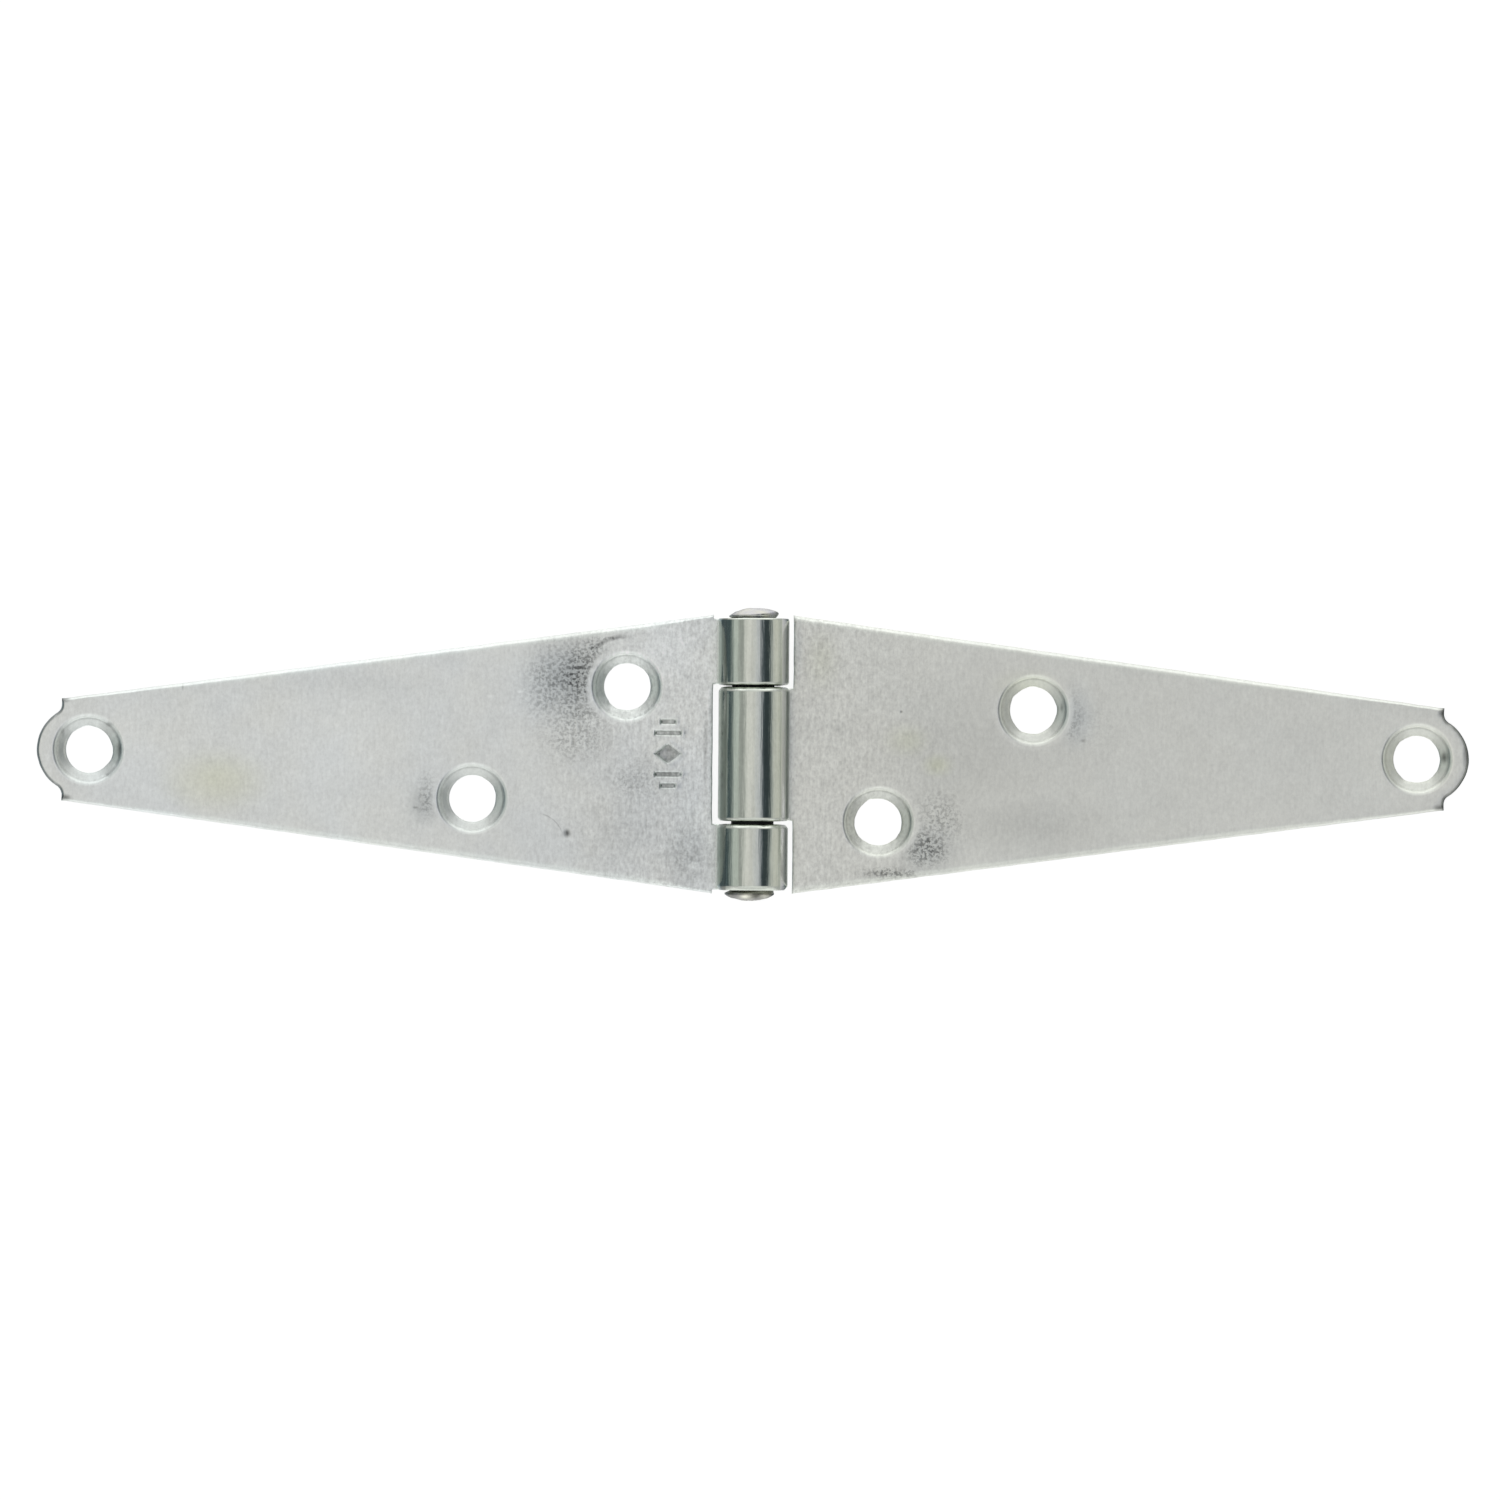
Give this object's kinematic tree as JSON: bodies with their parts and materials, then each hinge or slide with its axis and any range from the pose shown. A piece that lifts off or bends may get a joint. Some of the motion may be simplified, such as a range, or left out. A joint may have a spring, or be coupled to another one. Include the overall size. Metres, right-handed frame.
{
  "type": "strap hinge",
  "caption": "Light strap hinge: tapered plates with rolled knuckles turning on a peened pin, with staggered countersunk screw holes and round tongue ends.",
  "frame": {"origin": "on the plane of the back faces, straight below the middle of the pin", "axes": "+X along the leaves towards the door leaf, +Y along the pin, +Z out of the front face, where the knuckles stand"},
  "size_m": [0.1524, 0.031, 0.0076],
  "materials": {
    "zinc_sheet": "bright zinc plate over rolled steel sheet, satin",
    "zinc_pin": "bright zinc plate over a steel pin with peened ends"
  },
  "bodies": {
    "frame_side": {"frame_leaf": "zinc_sheet", "hinge_pin": "zinc_pin"},
    "door_side": {"door_leaf": "zinc_sheet"}
  },
  "joints": [
    {"name": "leaf_swing", "type": "hinge", "parent": "frame_side", "child": "door_side", "pos_m": [0, 0, 0.0038], "axis": [0, -1, 0], "range_deg": [-90, 180]}
  ]
}
